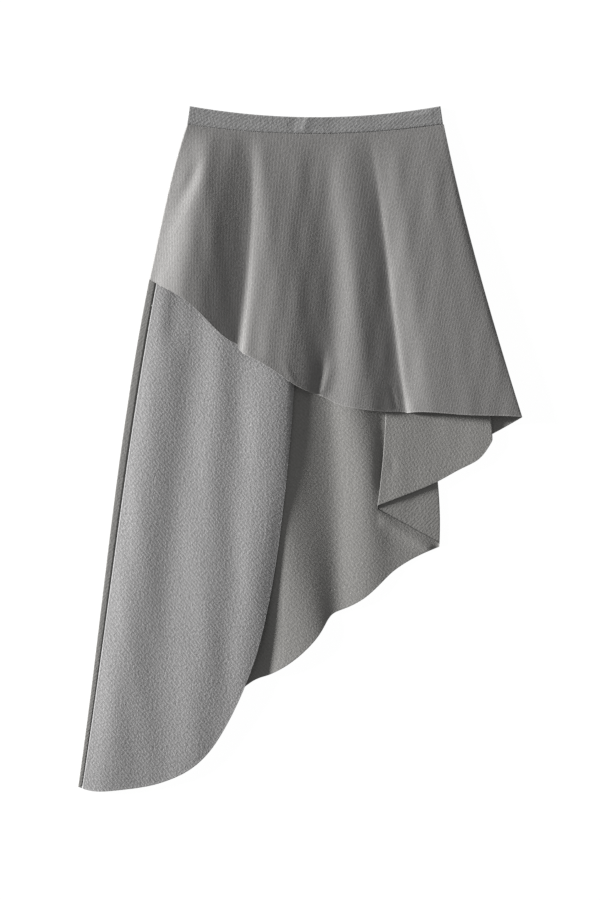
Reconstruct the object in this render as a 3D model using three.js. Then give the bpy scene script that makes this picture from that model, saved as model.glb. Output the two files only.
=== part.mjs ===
// Asymmetric midi skirt, laid flat on a table and seen from above.
//
// Units are millimetres. +Z is up off the table, +Y runs from the hem to the waist, +X is the right
// of the skirt as it lies. The origin is under the middle of the whole outline, on the table.
//
// The skirt has a waistband in two halves, a short fluted overlay over the whole front, a long
// tulip-shaped front panel under it on the left, and one large circular-cut back panel. The back
// panel wraps round the left side to the seam of the long panel, and its hem falls in a cascade of
// three folds on the right.
//
// Every cloth piece is one wall of even thickness round a middle surface. The surface is blended
// from rails, lines that run from the waist to the hem along the crests, the valleys and the edges
// of the folds.

import * as THREE from "three";

// Driving dimensions
const CLOTH = 1;
const BAND_CLOTH = 2.3;
const SEAM_GAP = 0.3;
const SEAM_ALLOWANCE_TURN = 0.6;

// Waistband, a shallow curve that dips in the middle
const WAIST_MIDDLE = 21;
const WAIST_SEAM_LOW = 428;
const WAIST_SEAM_RISE = 13;
const WAIST_SEAM_HALF = 174;
const BAND_TOP_LOW = 451;
const BAND_TOP_RISE = 15;
const BAND_TOP_HALF = 170.5;

// Room for the turn beside the edge of a flat fold, and the share of the way to the next rail that
// it may take
const TURN_ROOM = 2.2;
const TURN_SHARE = 0.3;

// Marks in the last column of the rails' tables. A flat fold turns between its FIRST and its SECOND
// layer, and a SOFT rail belongs to a rounded fold.
const PLAIN = 0;
const FIRST = 1;
const SECOND = 2;
const SOFT = 3;

// Grid of each wall: columns for each span between two rails, and steps from the waist to the hem
const COLUMNS_PER_SPAN = 2;
const COLUMNS_AT_FOLD = 4;
const STEPS_SHORT = 10;
const STEPS_LONG = 12;
const SLOPE_STEP = 1e-4;
const BAND_COLUMNS = 24;
const BAND_STEPS = 2;

// Each row is a rail: x at the waist, a third down, two thirds down and at the hem, then the hem's
// y, then the height of the cloth's middle at the waist, hip, thigh, knee and hem, then its mark
const RAIL_COLUMNS = [
  "name", "xWaist", "xHip", "xKnee", "xHem", "yHem",
  "zWaist", "zHip", "zThigh", "zKnee", "zHem", "fold",
];

const BACK_ROWS = [
  ["front seam",         -148, -210, -254, -296, -461,  3.0,  3.0,  3.0,  3.0,  3.0, PLAIN],
  ["left side over",     -153, -221, -263, -301, -459,  3.0,  3.0,  3.0,  3.0,  3.0, FIRST],
  ["left side under",    -153, -221, -263, -301, -459,  0.5,  0.5,  0.5,  0.5,  0.5, SECOND],
  ["behind 1",           -135, -190, -228, -260, -453,  0.5,  0.5,  0.5,  0.5,  0.5, PLAIN],
  ["behind 2",           -118, -156, -183, -206, -437,  0.5,  0.5,  0.5,  0.5,  0.5, PLAIN],
  ["behind 3",           -100, -122, -138, -149, -396,  0.5,  0.5,  0.5,  0.5,  0.5, PLAIN],
  ["behind 4",            -84,  -92,  -97, -100, -346,  0.5,  0.5,  0.5,  0.5,  0.5, PLAIN],
  ["first hollow",        -71,  -70,  -67,  -65, -314,  0.5,  0.5,  0.5,  0.5,  0.5, PLAIN],
  ["first ridge foot",    -61,  -54,  -50,  -47, -309,  0.5,  0.8,  2.0,  3.0,  1.5, PLAIN],
  ["first ridge edge",    -56,  -49,  -43,  -38, -306,  0.5,  1.0,  4.0,  6.5,  5.5, PLAIN],
  ["first ridge flat",    -50,  -43,  -33,   -8, -290,  0.5,  1.5,  6.4,  8.8,  8.6, PLAIN],
  ["first ridge",         -43,  -38,  -22,   26, -257,  0.5,  2.0,  7.6,  9.2,  9.2, PLAIN],
  ["first ridge fall",    -30,  -20,    7,   37, -234,  0.5,  1.5,  3.0,  4.8,  5.2, PLAIN],
  ["middle hollow",       -12,   13, 38.5,   45, -222,  0.5,  0.7,  0.5,  1.3,  2.3, PLAIN],
  ["second ridge side",     2,   27,   55,   63, -217,  0.5,  1.1,  1.8,  2.4,  3.2, PLAIN],
  ["second ridge",         17,   47,   80,   91, -203,  0.5,  1.8,  5.8,  6.2,  5.8, PLAIN],
  ["second ridge fall",    28,   63,   98,  116, -177,  0.5,  1.1,  3.3,  3.2,  4.4, PLAIN],
  ["second ridge foot",    36,   71,  109,  130, -163,  0.5,  0.6,  0.6,  0.7,  2.8, PLAIN],
  ["low flat",             46,   92,  140,  160, -145,  0.5,  0.5,  0.5,  0.6,  1.6, PLAIN],
  ["low fold under",       58,  116,  171,  190, -133,  0.5,  0.5,  0.5,  0.5,  0.5, FIRST],
  ["low fold over",        62,  117,  171,  190, -128,  0.5,  2.0,  3.0,  3.0,  3.0, SECOND],
  ["inner fold under",     81,  108,  118,  106,  -82,  0.5,  4.2,  4.2,  4.6,  5.8, FIRST],
  ["inner fold over",      85,  109,  118,  106,  -77,  0.5,  5.9,  6.7,  6.6,  7.6, SECOND],
  ["cascade 1",           100,  126,  143,  148,  -61,  0.5,  5.6,  6.0,  6.4,  7.0, PLAIN],
  ["cascade 2",           109,  143,  171,  187,  -46,  0.5,  5.5,  5.5,  5.6,  5.8, PLAIN],
  ["cascade 3",           119,  157,  191,  217,  -27,  0.5,  5.5,  5.5,  5.5,  5.5, PLAIN],
  ["cascade 4",           127,  168,  211,  243,  -17,  0.5,  5.5,  5.5,  5.5,  5.5, PLAIN],
  ["cascade 5",           134,  177,  224,  255,   -1,  0.5,  5.5,  5.5,  5.5,  5.5, PLAIN],
  ["outer fold over",     145,  190,  237,  262,   11,  0.5,  5.5,  5.5,  5.5,  5.5, FIRST],
  ["outer fold under",    149,  191,  237,  262,   20,  0.5,  4.0,  3.0,  3.0,  3.0, SECOND],
  ["hidden fold over",    162,  192,  211,  224,    5,  0.5,  2.0,  3.0,  3.0,  3.0, FIRST],
  ["hidden fold under",   166,  193,  211,  224,    1,  0.5,  0.5,  0.5,  0.5,  0.5, SECOND],
  ["right corner",        182,  209,  237,  263,   20,  0.5,  0.5,  0.5,  0.5,  0.5, PLAIN],
  ["beside right edge",   191,  220,  256,  294,   38,  0.5,  0.5,  0.5,  0.5,  0.5, PLAIN],
];

const LONG_PANEL_ROWS = [
  ["beside seam",        -145, -206, -250, -292, -463,  3.0,  3.4,  3.8,  3.8,  3.6, PLAIN],
  ["seam ridge",         -135, -195, -237, -279, -466,  3.0,  4.6,  6.6,  6.8,  5.2, PLAIN],
  ["seam ridge fall",    -124, -180, -220, -258, -465,  3.0,  5.2,  7.8,  8.6,  6.2, PLAIN],
  ["first hollow",       -112, -163, -197, -231, -462,  3.0,  4.8,  6.9,  8.8,  5.6, PLAIN],
  ["first hollow end",   -100, -145, -173, -201, -458,  3.0,  3.9,  5.3,  7.7,  5.0, PLAIN],
  ["middle rise",         -88, -126, -149, -171, -448,  3.0,  4.3,  7.4, 10.2,  6.0, PLAIN],
  ["middle ridge",        -75, -108, -127, -146, -435,  3.0,  5.0, 10.0, 12.2,  6.9, PLAIN],
  ["middle ridge fall",   -65,  -92, -108, -124, -415,  3.0,  4.7,  9.4, 11.8,  7.1, PLAIN],
  ["second hollow",       -54,  -77,  -92, -107, -390,  3.0,  4.3,  8.6, 11.3,  7.3, PLAIN],
  ["edge rise",           -44,  -63,  -77,  -90, -359,  3.0,  4.5,  9.5, 12.2,  8.4, PLAIN],
  ["edge ridge",          -35,  -51,  -65,  -75, -326,  3.0,  4.8, 10.5, 13.2,  9.4, PLAIN],
  ["hem round 1",         -27,  -40,  -51,  -57, -280,  3.0,  4.9, 11.0, 13.4,  9.8, PLAIN],
  ["hem round 2",         -20,  -31,  -39,  -44, -223,  3.0,  4.8, 10.6, 13.2, 10.5, PLAIN],
  ["free edge 1",         -14,  -21,  -28,  -31, -154,  3.0,  4.6,  9.6, 12.4, 10.6, PLAIN],
  ["free edge 2",         -10,  -14,  -19,  -22,  -80,  3.0,  4.4,  8.4, 11.0, 10.6, PLAIN],
  ["free edge 3",          -7,   -9,  -12,  -14,   -8,  3.0,  4.2,  7.2,  9.6,  9.6, PLAIN],
  ["free edge 4",          -3,   -5,   -7,   -8,   69,  3.0,  3.8,  5.6,  7.4,  8.0, PLAIN],
  ["hidden corner",        -1,   -1,   -2,   -3,  155,  3.0,  3.4,  4.2,  5.0,  5.5, PLAIN],
];

const OVERLAY_ROWS = [
  ["left edge",          -153, -174, -190, -205,  231,  4.6,  4.8,  5.0,  5.4,  5.8, PLAIN],
  ["left rise",          -148, -168, -184, -198,  227,  4.6,  5.6,  6.8,  7.4,  7.4, PLAIN],
  ["first flute rise",   -139, -157, -173, -188,  221,  4.6,  7.4,  9.4, 11.0, 11.2, PLAIN],
  ["first flute",        -130, -142, -159, -174,  214,  4.6,  9.8, 15.2, 17.2, 16.4, PLAIN],
  ["first flute top",    -118, -129, -143, -155,  203,  4.6, 11.5, 18.2, 20.0, 19.2, PLAIN],
  ["first flute fall",   -103, -108, -120, -131,  181,  4.6, 10.8, 17.0, 18.2, 17.4, PLAIN],
  ["first flute foot",    -89,  -92, -100, -107,  154,  4.6,  9.4, 14.6, 14.2, 13.6, PLAIN],
  ["first valley",        -80,  -80,  -83,  -88,  143,  4.6,  7.8, 12.4, 11.0, 10.8, PLAIN],
  ["second fold under",   -68,  -66,  -73,  -84,  142,  4.6,  7.2, 11.6,  9.9, 10.0, SOFT],
  ["second fold lip",     -64, -62.5,  -69,  -80,  131,  4.6,  7.8, 12.4, 10.9, 11.2, SOFT],
  ["second shoulder",     -56,  -55,  -61,  -72,  127,  4.6,  9.2, 14.8, 14.8, 15.4, SOFT],
  ["second flute top",    -50,  -43,  -40,  -43,  113,  4.6, 10.4, 16.4, 17.0, 17.2, PLAIN],
  ["second flute fall",   -13,  -10,   -7,   -7,   86,  4.6,  9.6, 15.0, 16.4, 15.8, PLAIN],
  ["second flute foot",    12,   14,   16,   13,   77,  4.6,  8.2, 12.6, 13.2, 12.6, PLAIN],
  ["middle valley",        28,   38,   42,   34,   71,  4.6,  7.0,  9.2,  8.8,  8.8, PLAIN],
  ["third flute rise",     44,   53,   57,   50,   60,  4.6,  8.2, 10.4, 10.4, 11.0, PLAIN],
  ["third flute top",      62,   73,   77,   77,   54,  4.6, 10.4, 14.4, 15.6, 16.4, PLAIN],
  ["third flute fall",     77,   90,   99,  111,   50,  4.6,  9.4, 12.4, 12.0, 12.2, PLAIN],
  ["third valley",         90,  108,  120,  136,   50,  4.6,  7.0,  8.8,  8.4,  8.6, PLAIN],
  ["fourth fold under",  95.5,  113,  127,  144,   50,  4.6,  7.0,  8.3,  8.1,  8.3, SOFT],
  ["fourth fold lip",    98.5,  116,  130,  147,   48,  4.6,  7.6,  9.2,  9.2,  9.3, SOFT],
  ["fourth shoulder",     107,  124,  138, 153.5,   50,  4.6,  8.8, 11.8, 12.0, 12.5, SOFT],
  ["fourth flute top",    124,  145,  163,  180,   50,  4.6, 10.0, 14.2, 14.8, 15.0, PLAIN],
  ["right flat 1",        160,  183,  202,  226,   45,  4.6,  9.6, 13.8, 14.4, 14.8, PLAIN],
  ["right flat 2",        183,  210,  240,  270,   45,  4.6,  9.0, 13.3, 13.8, 13.8, PLAIN],
  ["right flat 3",        192, 221.5,  257,  296,   44,  4.6,  8.4, 12.8, 13.4, 13.3, PLAIN],
  ["beside right edge",  194.5, 224.5, 260.5, 300.5,   43,  4.6,  7.8, 11.8, 12.8, 13.0, PLAIN],
  ["right edge",          196,  226,  262,  302,   43,  4.6,  6.8,  7.4,  7.4,  7.4, PLAIN],
];

// Finish of each piece, as seen on the cloth
const CLOTH_COLOUR = 0x8b8b89;
const CLOTH_SHADE = 0x838382;
const CLOTH_ROUGHNESS = 0.72;
const CLOTH_METALNESS = 0;

// Height of the waist seam and of the band's upper edge over a place across the skirt
function waistSeamY(x) {
  return WAIST_SEAM_LOW + WAIST_SEAM_RISE * ((x - WAIST_MIDDLE) / WAIST_SEAM_HALF) ** 2;
}

function bandTopY(x) {
  return BAND_TOP_LOW + BAND_TOP_RISE * ((x - WAIST_MIDDLE) / BAND_TOP_HALF) ** 2;
}

// A table's rows as objects with the columns as names
function named(columns, rows) {
  return rows.map((row) => Object.fromEntries(columns.map((column, i) => [column, row[i]])));
}

// Weights of a clamped even cubic B-spline with count control points, at a share from 0 to 1
function splineWeights(count, share) {
  const degree = 3;
  const spans = count - degree;
  const knot = (i) => Math.min(Math.max(i - degree, 0), spans);
  const at = Math.min(share * spans, spans * (1 - 1e-12));
  const weights = Array.from({ length: count + degree }, (_, i) =>
    knot(i) <= at && at < knot(i + 1) ? 1 : 0,
  );
  for (let order = 1; order <= degree; order++) {
    for (let i = 0; i < count + degree - order; i++) {
      const rise = knot(i + order) - knot(i);
      const fall = knot(i + order + 1) - knot(i + 1);
      const left = rise > 0 ? ((at - knot(i)) / rise) * weights[i] : 0;
      const right = fall > 0 ? ((knot(i + order + 1) - at) / fall) * weights[i + 1] : 0;
      weights[i] = left + right;
    }
  }
  return weights.slice(0, count);
}

function blend(values, weights) {
  return values.reduce((sum, value, i) => sum + value * weights[i], 0);
}

// The cubic through four values at shares 0, 1/3, 2/3 and 1
function throughThirds(values, share) {
  const t = 3 * share;
  const weights = [
    (-(t - 1) * (t - 2) * (t - 3)) / 6,
    (t * (t - 2) * (t - 3)) / 2,
    (-t * (t - 1) * (t - 3)) / 2,
    (t * (t - 1) * (t - 2)) / 6,
  ];
  return blend(values, weights);
}

// A rail gives a point of the cloth's middle at a share of the way from the waist to the hem
function railOf(row) {
  const across = [row.xWaist, row.xHip, row.xKnee, row.xHem];
  const heights = [row.zWaist, row.zHip, row.zThigh, row.zKnee, row.zHem];
  const top = waistSeamY(row.xWaist) - SEAM_GAP / 2;
  return {
    atFold: row.fold !== PLAIN,
    x: (share) => throughThirds(across, share),
    y: (share) => top + (row.yHem - top) * share,
    z: (share) => blend(heights, splineWeights(heights.length, share)),
  };
}

// A copy of a rail moved sideways by a distance that may change on the way down
function moved(base, distance) {
  return { ...base, x: (share) => base.x(share) + distance(share) };
}

// A rail beside the edge of a fold, a little of the way towards the next rail
function besideEdge(edge, next) {
  const share = (down) => Math.min(TURN_SHARE, TURN_ROOM / Math.abs(next.x(down) - edge.x(down)));
  const mixed = (axis) => (down) =>
    THREE.MathUtils.lerp(edge[axis](down), next[axis](down), share(down));
  return { atFold: true, x: mixed("x"), y: mixed("y"), z: mixed("z") };
}

// The rails of a table. On the flat side of each layer of a fold's edge lies one more rail, so that
// the turn is round and wider than the wall.
function railsOf(rows) {
  const rails = rows.map(railOf);
  return rails.flatMap((rail, i) => {
    if (rows[i].fold === FIRST) return [besideEdge(rail, rails[i - 1]), rail];
    if (rows[i].fold === SECOND) return [rail, besideEdge(rail, rails[i + 1])];
    return [rail];
  });
}

// Shares across a panel: an even number of columns in each span, more where the cloth turns at a fold
function columnsOf(rails) {
  const spans = rails.length - 3;
  const shares = [0];
  for (let span = 0; span < spans; span++) {
    const turning = rails[span + 1].atFold || rails[span + 2].atFold;
    const count = turning ? COLUMNS_AT_FOLD : COLUMNS_PER_SPAN;
    for (let c = 1; c <= count; c++) shares.push((span + c / count) / spans);
  }
  return shares;
}

function evenShares(count) {
  return Array.from({ length: count + 1 }, (_, i) => i / count);
}

// The middle surface of a panel, a point for a share across it and a share down it
function surfaceOf(rails) {
  return (across, down) => {
    const weights = splineWeights(rails.length, across);
    const point = new THREE.Vector3();
    rails.forEach((rail, i) => {
      if (weights[i] === 0) return;
      const at = new THREE.Vector3(rail.x(down), rail.y(down), rail.z(down));
      point.addScaledVector(at, weights[i]);
    });
    return point;
  };
}

// The surface's upward normal, from its slopes across and down
function normalAt(surface, across, down) {
  const inside = (share) => Math.min(Math.max(share, 0), 1);
  const right = surface(inside(across + SLOPE_STEP), down);
  const slope = right.sub(surface(inside(across - SLOPE_STEP), down));
  const below = surface(across, inside(down + SLOPE_STEP));
  const fall = below.sub(surface(across, inside(down - SLOPE_STEP)));
  return fall.cross(slope).normalize();
}

// A closed wall of the given thickness with the surface as its middle
function wallAround(surface, across, down, thickness) {
  const lines = down.length;
  const last = across.length * lines;
  const positions = new Float32Array(2 * last * 3);
  across.forEach((u, c) => {
    down.forEach((v, s) => {
      const middle = surface(u, v);
      const normal = normalAt(surface, u, v);
      const face = middle.clone().addScaledVector(normal, thickness / 2);
      const lining = middle.clone().addScaledVector(normal, -thickness / 2);
      face.toArray(positions, 3 * (c * lines + s));
      lining.toArray(positions, 3 * (last + c * lines + s));
    });
  });
  const index = [];
  const quad = (a, b, c, d) => index.push(a, b, c, a, c, d);
  for (let c = 0; c < across.length - 1; c++) {
    for (let s = 0; s < lines - 1; s++) {
      const corner = [c * lines + s, c * lines + s + 1, (c + 1) * lines + s + 1, (c + 1) * lines + s];
      quad(...corner);
      quad(...corner.map((v) => v + last).reverse());
    }
  }
  const border = [];
  for (let s = 0; s < lines; s++) border.push(s);
  for (let c = 1; c < across.length; c++) border.push(c * lines + lines - 1);
  for (let s = lines - 2; s >= 0; s--) border.push((across.length - 1) * lines + s);
  for (let c = across.length - 2; c > 0; c--) border.push(c * lines);
  border.forEach((v, i) => {
    const next = border[(i + 1) % border.length];
    quad(v, v + last, next + last, next);
  });
  const geometry = new THREE.BufferGeometry();
  geometry.setAttribute("position", new THREE.BufferAttribute(positions, 3));
  geometry.setIndex(index);
  geometry.computeVertexNormals();
  return geometry;
}

function piece(name, geometry, colour) {
  const material = new THREE.MeshStandardMaterial({
    color: colour,
    roughness: CLOTH_ROUGHNESS,
    metalness: CLOTH_METALNESS,
  });
  const mesh = new THREE.Mesh(geometry, material);
  mesh.name = name;
  return mesh;
}

function panel(name, rails, steps, colour) {
  const wall = wallAround(surfaceOf(rails), columnsOf(rails), evenShares(steps), CLOTH);
  return piece(name, wall, colour);
}

// One half of the waistband, a strip between the band's upper edge and the waist seam
function waistband(name, height) {
  const surface = (across, down) => {
    const side = 2 * across - 1;
    const lowX = WAIST_MIDDLE + side * WAIST_SEAM_HALF;
    const topX = WAIST_MIDDLE + side * BAND_TOP_HALF;
    const low = new THREE.Vector3(lowX, waistSeamY(lowX) + SEAM_GAP / 2, height);
    return new THREE.Vector3(topX, bandTopY(topX), height).lerp(low, down);
  };
  const wall = wallAround(surface, evenShares(BAND_COLUMNS), evenShares(BAND_STEPS), BAND_CLOTH);
  return piece(name, wall, CLOTH_COLOUR);
}

const backRows = named(RAIL_COLUMNS, BACK_ROWS);
const longPanelRows = named(RAIL_COLUMNS, LONG_PANEL_ROWS);
const overlayRows = named(RAIL_COLUMNS, OVERLAY_ROWS);

// The back panel's right edge runs under the overlay's, a seam's gap below it
const layer = CLOTH + SEAM_GAP;
const rightEdge = overlayRows[overlayRows.length - 1];
const backRightEdge = {
  ...rightEdge,
  zWaist: rightEdge.zWaist - layer,
  zHip: rightEdge.zHip - layer,
  zThigh: rightEdge.zThigh - layer,
  zKnee: rightEdge.zKnee - layer,
  zHem: rightEdge.zHem - layer,
};
const backRails = railsOf([...backRows, backRightEdge]);

// The long panel starts beside the back panel's front seam
const seamRail = moved(railOf(backRows[0]), () => SEAM_ALLOWANCE_TURN);
const longPanelRails = [seamRail, ...railsOf(longPanelRows)];

const skirt = new THREE.Group();
skirt.name = "asymmetric_midi_skirt";
skirt.add(
  waistband("waistband_back", BAND_CLOTH / 2),
  waistband("waistband_front", BAND_CLOTH / 2 + BAND_CLOTH + SEAM_GAP),
  panel("back_panel", backRails, STEPS_LONG, CLOTH_SHADE),
  panel("front_long_panel", longPanelRails, STEPS_LONG, CLOTH_COLOUR),
  panel("front_overlay", railsOf(overlayRows), STEPS_SHORT, CLOTH_COLOUR),
);

export default skirt;
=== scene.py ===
"""Asymmetric midi skirt laid flat: cloth panels, waistband and stitches on the forms of its solids.

Lengths in the tables are millimetres, as a pattern maker gives them. Meshes are in metres, +Z up off
the table, +Y from the hem to the waist and +X to the right of the skirt as it lies.
"""
import logging
import math
from dataclasses import dataclass, field
from enum import Enum

import bpy
import numpy as np
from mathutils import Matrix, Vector


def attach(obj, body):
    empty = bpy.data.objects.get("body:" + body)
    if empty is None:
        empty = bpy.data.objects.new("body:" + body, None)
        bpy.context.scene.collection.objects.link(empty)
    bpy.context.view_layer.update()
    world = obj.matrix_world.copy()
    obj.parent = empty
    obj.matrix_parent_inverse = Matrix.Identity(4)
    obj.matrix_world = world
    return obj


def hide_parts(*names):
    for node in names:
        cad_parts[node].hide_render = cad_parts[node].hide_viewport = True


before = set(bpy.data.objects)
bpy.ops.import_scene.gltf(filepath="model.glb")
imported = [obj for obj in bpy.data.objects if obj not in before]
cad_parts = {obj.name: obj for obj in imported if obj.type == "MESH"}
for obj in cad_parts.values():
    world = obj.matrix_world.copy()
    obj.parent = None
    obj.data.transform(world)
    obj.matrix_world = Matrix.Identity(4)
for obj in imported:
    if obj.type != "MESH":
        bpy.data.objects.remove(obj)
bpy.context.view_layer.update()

LOG = logging.getLogger("skirt")
Array = np.ndarray
Socket = bpy.types.NodeSocket
MM = 0.001
BODY = "root"

# Waistband and waist seam, a shallow curve that dips in the middle
WAIST_MIDDLE = 21.0
WAIST_SEAM_LOW = 428.0
WAIST_SEAM_RISE = 13.0
WAIST_SEAM_HALF = 174.0
BAND_TOP_LOW = 451.0
BAND_TOP_RISE = 15.0
BAND_TOP_HALF = 170.5
SEAM_GAP = 0.3

# Room beside the edge of a flat fold for its turn, and the largest share of the way to the next rail
TURN_ROOM = 0.6
TURN_SHARE = 0.3

# The least reach between two rails, and how little before its end a spline is looked up at most
LEAST_REACH = 1e-6
SPLINE_END = 1e-12
WHITE = (1.0, 1.0, 1.0, 1.0)

# Lowest height of a panel's middle over the floor
FLOOR_CLEARANCE = 0.3

# Length down a panel that its hem's and waist's narrow steps are shares of
PANEL_LENGTH = 520.0

# The layers of the maps and the group that the finishes share
CUT_MAP = "Cut"
# The second map holds pressing and painted light: a painted highlight above zero, painted shade along a fold
# and a hem below zero, and a darker edge beside a seam
WEAR_AND_LIGHT_MAP = "Wear"
WEAVE_GROUP = "Twill weave"

# The weave's noises, as scales on the cut map in metres: fibres, uneven yarn and slow change of colour
FUZZ_SCALE = 900.0
SLUB_SCALE = 300.0
CLOUD_SCALE = 9.0
NOISE_DETAIL = 2.0
NOISE_MIDDLE = 0.5

# How far uneven yarn shifts a rib, in metres, and the weights of the relief's parts
RIB_BEND = 0.006
RIB_WEIGHT = 0.3
THREAD_WEIGHT = 0.15
SLUB_WEIGHT = 3.6
FUZZ_WEIGHT = 2.0

# Shares by which clouds and the map of pressing and painted light change the colour, and yarn and that map
# the roughness
CLOUD_SHADE = 0.12
WEAR_AND_LIGHT_COLOUR = 0.35
SLUB_DULLNESS = 0.16
WEAR_AND_LIGHT_POLISH = 0.08

# Height of the weave's bump in metres, and what all the cloths have in common
BUMP_DISTANCE = 0.0003
SHEEN_ROUGHNESS = 0.4
CLOTH_SPECULAR = 0.35


class Mark(Enum):
    """What a rail is: plain, the first or second edge of a flat fold, or part of a small soft fold."""

    PLAIN = 0
    FIRST = 1
    SECOND = 2
    SOFT = 3


PLAIN, FIRST, SECOND, SOFT = Mark

# Heights of cloth that lies on the floor, and of cloth on one layer that lies there
ON_FLOOR = (0.5,) * 5
ON_LAYER = (3.0,) * 5

# Each row is a rail: its name, x at the waist, a third down, two thirds down and at the hem, then the
# hem's y, then the height of the cloth's middle at the waist, hip, thigh, knee and hem, then its mark
# unless it is plain
BACK_ROWS = (
    ("front seam", -148, -210, -254, -296, -461, *ON_LAYER),
    ("left side over", -153, -221, -263, -301, -459, *ON_LAYER, FIRST),
    ("left side under", -153, -221, -263, -301, -459, *ON_FLOOR, SECOND),
    ("behind 1", -135, -190, -228, -260, -453, *ON_FLOOR),
    ("behind 2", -118, -156, -183, -206, -437, *ON_FLOOR),
    ("behind 3", -100, -122, -138, -149, -396, *ON_FLOOR),
    ("behind 4", -84, -92, -97, -100, -346, *ON_FLOOR),
    ("first hollow", -71, -70, -67, -65, -314, *ON_FLOOR),
    ("first ridge foot", -61, -54, -50, -47, -309, 0.5, 0.8, 2, 3, 1.5),
    ("first ridge edge", -56, -49, -43, -38, -306, 0.5, 1, 4, 6.5, 5.5),
    ("first ridge flat", -50, -43, -33, -8, -290, 0.5, 1.5, 6.4, 8.8, 8.6),
    ("first ridge", -43, -38, -22, 26, -257, 0.5, 2, 7.6, 9.2, 9.2),
    ("first ridge fall", -30, -20, 7, 37, -234, 0.5, 1.5, 3, 4.8, 5.2),
    ("middle hollow", -12, 13, 38.5, 45, -222, 0.5, 0.7, 0.5, 1.3, 2.3),
    ("second ridge side", 2, 27, 55, 63, -217, 0.5, 1.1, 1.8, 2.4, 3.2),
    ("second ridge", 17, 47, 80, 91, -203, 0.5, 1.8, 5.8, 6.2, 5.8),
    ("second ridge fall", 28, 63, 98, 116, -177, 0.5, 1.1, 3.3, 3.2, 4.4),
    ("second ridge foot", 36, 71, 109, 130, -163, 0.5, 0.6, 0.6, 0.7, 2.8),
    ("low flat", 46, 92, 140, 160, -145, 0.5, 0.5, 0.5, 0.6, 1.6),
    ("low fold under", 58, 116, 171, 190, -133, *ON_FLOOR, FIRST),
    ("low fold over", 62, 117, 171, 190, -128, 0.5, 2, 3, 3, 3, SECOND),
    ("inner fold under", 81, 108, 118, 106, -82, 0.5, 4.2, 4.2, 4.6, 5.8, FIRST),
    ("inner fold over", 85, 109, 118, 106, -77, 0.5, 5.9, 6.7, 6.6, 7.6, SECOND),
    ("cascade 1", 100, 126, 143, 148, -61, 0.5, 5.6, 6, 6.4, 7),
    ("cascade 2", 109, 143, 171, 187, -46, 0.5, 5.5, 5.5, 5.6, 5.8),
    ("cascade 3", 119, 157, 191, 217, -27, 0.5, 5.5, 5.5, 5.5, 5.5),
    ("cascade 4", 127, 168, 211, 243, -17, 0.5, 5.5, 5.5, 5.5, 5.5),
    ("cascade 5", 134, 177, 224, 255, -1, 0.5, 5.5, 5.5, 5.5, 5.5),
    ("outer fold over", 145, 190, 237, 262, 11, 0.5, 5.5, 5.5, 5.5, 5.5, FIRST),
    ("outer fold under", 149, 191, 237, 262, 20, 0.5, 4, 3, 3, 3, SECOND),
    ("hidden fold over", 162, 192, 211, 224, 5, 0.5, 2, 3, 3, 3, FIRST),
    ("hidden fold under", 166, 193, 211, 224, 1, *ON_FLOOR, SECOND),
    ("right corner", 182, 209, 237, 263, 20, *ON_FLOOR),
    ("beside right edge", 191, 220, 256, 294, 38, *ON_FLOOR),
    ("right edge", 196, 226, 262, 302, 43, 3.3, 6.3, 10.2, 11, 11.2),
)

LONG_PANEL_ROWS = (
    ("beside seam", -145, -206, -250, -292, -463, 3, 3.4, 3.8, 3.8, 3.6),
    ("seam ridge", -135, -195, -237, -279, -466, 3, 4.6, 6.6, 6.8, 5.2),
    ("seam ridge fall", -124, -180, -220, -258, -465, 3, 5.2, 7.8, 8.6, 6.2),
    ("first hollow", -112, -163, -197, -231, -462, 3, 4.8, 6.9, 8.8, 5.6),
    ("first hollow end", -100, -145, -173, -201, -458, 3, 3.9, 5.3, 7.7, 5),
    ("middle rise", -88, -126, -149, -171, -448, 3, 4.3, 7.4, 10.2, 6),
    ("middle ridge", -75, -108, -127, -146, -435, 3, 5, 10, 12.2, 6.9),
    ("middle ridge fall", -65, -92, -108, -124, -415, 3, 4.7, 9.4, 11.8, 7.1),
    ("second hollow", -54, -77, -92, -107, -390, 3, 4.3, 8.6, 11.3, 7.3),
    ("edge rise", -44, -63, -77, -90, -359, 3, 4.5, 9.5, 12.2, 8.4),
    ("edge ridge", -35, -51, -65, -75, -326, 3, 4.8, 10.5, 13.2, 9.4),
    ("hem round 1", -27, -40, -51, -57, -280, 3, 4.9, 11, 13.4, 9.8),
    ("hem round 2", -20, -31, -39, -44, -223, 3, 4.8, 10.6, 13.2, 10.5),
    ("free edge 1", -14, -21, -28, -31, -154, 3, 4.6, 9.6, 12.4, 10.6),
    ("free edge 2", -10, -14, -19, -22, -80, 3, 4.4, 8.4, 11, 10.6),
    ("free edge 3", -7, -9, -12, -14, -8, 3, 4.2, 7.2, 9.6, 9.6),
    ("free edge 4", -3, -5, -7, -8, 69, 3, 3.8, 5.6, 7.4, 8),
    ("hidden corner", -1, -1, -2, -3, 155, 3, 3.4, 4.2, 5, 5.5),
)

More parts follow.
